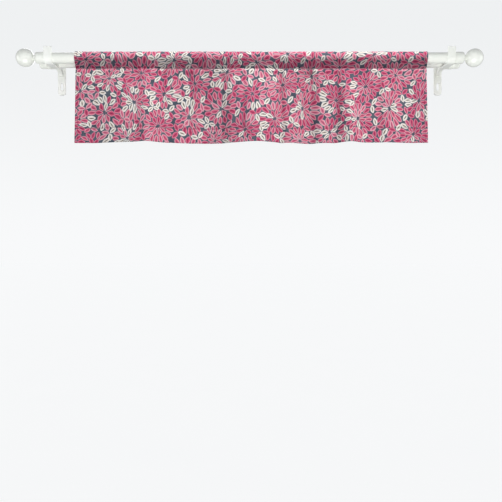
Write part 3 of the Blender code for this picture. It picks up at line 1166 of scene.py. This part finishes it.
    def flat_widths(self, x: Array, side: Array) -> Array:
        """Distance along the cloth's width, as it lay before it was hung.

        It adds up the folds' own length at two thirds of the drop.

        Args:
            x: Place of each column.
            side: Side on which the column is turned back, or 0.

        Returns:
            Distance of each column from the middle of the cloth.
        """
        fine = np.linspace(self.left, self.right, 2000)
        depth = self.depth_at(fine, np.array([0.66]))[0]
        length = np.concatenate([[0.0], np.cumsum(np.hypot(np.diff(fine), np.diff(depth)))])
        along = np.interp(x, fine, length)
        edge = np.where(side > 0, length[-1], 0.0)
        return np.where(side != 0, 2 * edge - along, along) - length[-1] / 2

    def build(self, outside: Material, reverse: Material) -> Object:
        """A point of the sheet is the surface's point, moved along its normal by the layers that
        lie there. Where a hem turns, it goes round a half circle, one layer across.

        Args:
            outside: The printed side.
            reverse: The other side of the cloth.

        Returns:
            The valance.
        """
        way, folded, hem_angle = self.ways()
        x, side_angle, side = self.places()
        unit_x, unit_way = self.grain(x, way)
        normal = unit(np.cross(unit_way, unit_x))

        band = np.minimum(x - self.left, self.right - x)
        doubled = np.clip((self.side_hem + 0.001 - band) / 0.002, 0, 1)
        side_lift = np.where(side != 0, (1 + np.cos(side_angle)) / 2, doubled) * self.layer
        hem_lift = -(1 - np.cos(hem_angle)) / 2 * (self.layer + 0.0001)
        lift = hem_lift[:, None] + (1 - 2 * folded)[:, None] * side_lift
        sag = np.sin(hem_angle)[:, None, None] * (self.layer / 2)
        out = (np.sin(side_angle) * side)[:, None] * (self.layer / 2)
        points = self.surface(x, way) + normal * lift[:, :, None] + unit_way * sag + unit_x * out

        quads = grid_quads(len(way), len(x))[:, ::-1].tolist()
        obj = place_mesh("valance_cloth", points.reshape(-1, 3), quads, [outside, reverse], 180.0)
        down = np.where(folded > 0, 2 * self.skirt - way, way)
        flat = np.stack(np.meshgrid(self.flat_widths(x, side), down), axis=2).reshape(-1, 2)
        corners = np.empty(len(obj.data.loops), dtype=np.int32)
        obj.data.loops.foreach_get("vertex_index", corners)
        cloth_map = obj.data.uv_layers.new(name=CLOTH_MAP)
        cloth_map.uv.foreach_set("vector", flat[corners].astype(np.float32).ravel())
        thick = obj.modifiers.new("Thickness of the cloth", "SOLIDIFY")
        thick.thickness, thick.offset, thick.material_offset = self.cloth, 0.0, 1
        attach(obj, "root")
        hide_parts("valance")
        return obj


@dataclass
class Bracket:
    """Bracket at one end: the arm with both cradles, and its wall plate."""

    side: Side

    def build(self) -> list[Object]:
        """Dress the arm and the plate in powder coat.

        Returns:
            Both.
        """
        pieces = [bpy.data.objects[f"{part}_{self.side.word}"] for part in ("arm", "wall_plate")]
        for piece in pieces:
            piece.material_slots[0].material = POWDER
        return pieces


@dataclass(frozen=True)
class Lamp:
    """A soft square lamp that lights only its own pieces. Spread is in degrees."""

    name: str
    place: tuple[float, float, float]
    size: float
    watts: float
    lights: Lit
    colour: str = "#FFFFFF"
    spread: float = 180.0
    target: Point = (0.0, -0.12, -0.12)

    def hang(self, pieces: list[Object]) -> None:
        """Hang the lamp and point it at its target.

        Args:
            pieces: What it lights.
        """
        data = bpy.data.lights.new(self.name, "AREA")
        data.size, data.energy, data.color = self.size, self.watts, linear(self.colour)[:3]
        data.spread = math.radians(self.spread)
        obj = put(self.name, data)
        obj.location = self.place
        aim = Vector(self.target) - Vector(self.place)
        obj.rotation_euler = aim.to_track_quat("-Z", "Y").to_euler()
        lit = bpy.data.collections.new(self.name)
        for piece in pieces:
            lit.objects.link(piece)
        obj.light_linking.receiver_collection = lit


# The cloth has a lamp of its own, high to the right, whose low angle draws its folds. The white
# fittings have soft ones before, under and beside them, which leave them evenly bright. No lamp
# lights the floor, so it stays even.
LAMPS = (
    Lamp("over_the_cloth", (1.5, -2.5, 3.1), 1.0, 35.5, Lit.CLOTH, "#FFFDF8", 90.0),
    Lamp("before_the_fittings", (0.1, -3.2, 0.0), 1.8, 18.0, Lit.FITTINGS),
    Lamp("under_the_fittings", (0.0, -1.3, -1.8), 1.8, 49.0, Lit.FITTINGS),
    Lamp("left_of_the_fittings", (-3.3, -0.5, -0.3), 1.6, 20.0, Lit.FITTINGS),
    Lamp("right_of_the_fittings", (3.3, -0.5, -0.3), 1.6, 20.0, Lit.FITTINGS),
    Lamp("fill", (-1.6, -3.2, -0.1), 1.6, 5.0, Lit.ALL, "#F4F8FF"),
    Lamp("behind", (-0.8, 2.6, 1.0), 2.0, 34.0, Lit.ALL),
)


@dataclass
class Studio:
    """Camera at the photograph's angle, pale floor, soft light."""

    eye: Point = (0.0044, -2.170, -0.647)
    sensor: float = 36.0
    lens: float = 36 * 606 / 502
    floor_height: float = -2.1
    floor_half: float = 60.0
    floor_glow: float = 0.709
    sky_strength: float = 0.52

    def camera(self) -> None:
        """Stand the camera level, square to the wall."""
        data = bpy.data.cameras.new("camera")
        data.lens, data.sensor_width, data.clip_end = self.lens, self.sensor, 200.0
        obj = put("camera", data)
        obj.location = self.eye
        obj.rotation_euler = (math.radians(90), 0.0, 0.0)
        bpy.context.scene.camera = obj

    def light(self, cloth: Object, fittings: list[Object]) -> None:
        """Hang the lamps.

        Args:
            cloth: The valance.
            fittings: Rods, finials, caps and brackets.
        """
        groups = {Lit.CLOTH: [cloth], Lit.FITTINGS: fittings, Lit.ALL: [cloth, *fittings]}
        for lamp in LAMPS:
            lamp.hang(groups[lamp.lights])

    def surroundings(self) -> None:
        """Give the camera a pale sweep to see, and the pieces an even light."""
        world = bpy.data.worlds.new("pale_surroundings")
        world.use_nodes = True
        tree = world.node_tree
        shown = tree.nodes["Background"]
        height = parts_of(tree, add_node(tree, "TexCoord").outputs["Generated"])[2]
        sweep = mixed(tree, height.ramp(0.0, 0.35), linear("#F8F9FA"), linear("#EFF1F2"))
        plug(shown, {"Color": sweep})
        sky = {"Color": linear("#FBFCFF"), "Strength": self.sky_strength}
        lit = add_node(tree, "Background", sky)
        seen = add_node(tree, "LightPath").outputs["Is Camera Ray"]
        both = add_node(tree, "MixShader", {"Fac": seen, 1: lit.outputs[0], 2: shown.outputs[0]})
        plug(tree.nodes["World Output"], {"Surface": both.outputs[0]})
        bpy.context.scene.world = world
        bpy.context.scene.view_settings.view_transform = "Standard"

    def floor(self) -> None:
        """Lay a matte floor that glows evenly for the camera and throws up only a little light."""
        made, tree, shader = new_material("pale_floor")
        place = add_node(tree, "TexCoord").outputs["Object"]
        seen = Wire(tree, add_node(tree, "LightPath").outputs["Is Camera Ray"])
        patchy = noise_at(tree, place, 1.5, 2.0)
        inputs = {
            "Base Color": mixed(tree, patchy, linear("#B4B5B6"), linear("#B8B8B8")),
            "Roughness": 0.9,
            "Emission Color": linear("#FAFBFB"),
            "Emission Strength": seen * self.floor_glow,
        }
        plug(shader, inputs)
        ends = ((-1, -1), (1, -1), (1, 1), (-1, 1))
        corners = [(x * self.floor_half, y * self.floor_half, self.floor_height) for x, y in ends]
        place_mesh("floor", np.array(corners), [(0, 1, 2, 3)], [made])

    def build(self) -> None:
        """Set up the camera, the pale surroundings and the floor."""
        self.camera()
        self.surroundings()
        self.floor()


def main() -> None:
    """Build the scene piece by piece, and log each."""
    logging.basicConfig(level=logging.INFO, format="%(message)s")
    studio = Studio()
    studio.build()
    fittings = [
        Rod("front_rod", 0.0175, FRONT_FORWARD).build(),
        Rod("rear_rod", 0.0125, REAR_FORWARD).build(),
    ]
    for side in Side:
        fittings += [Finial(side).build(), EndCap(side).build(), *Bracket(side).build()]
    for piece in fittings:
        LOG.info("fitting %s", piece.name)
    printed = PrintedCloth().dress("printed_polyester")
    reverse = PrintedCloth(worn_pale=0.5).dress("reverse_of_the_print")
    cloth = Valance().build(printed, reverse)
    LOG.info("cloth %s", cloth.name)
    studio.light(cloth, fittings)
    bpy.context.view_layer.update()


if __name__ == "__main__":
    main()
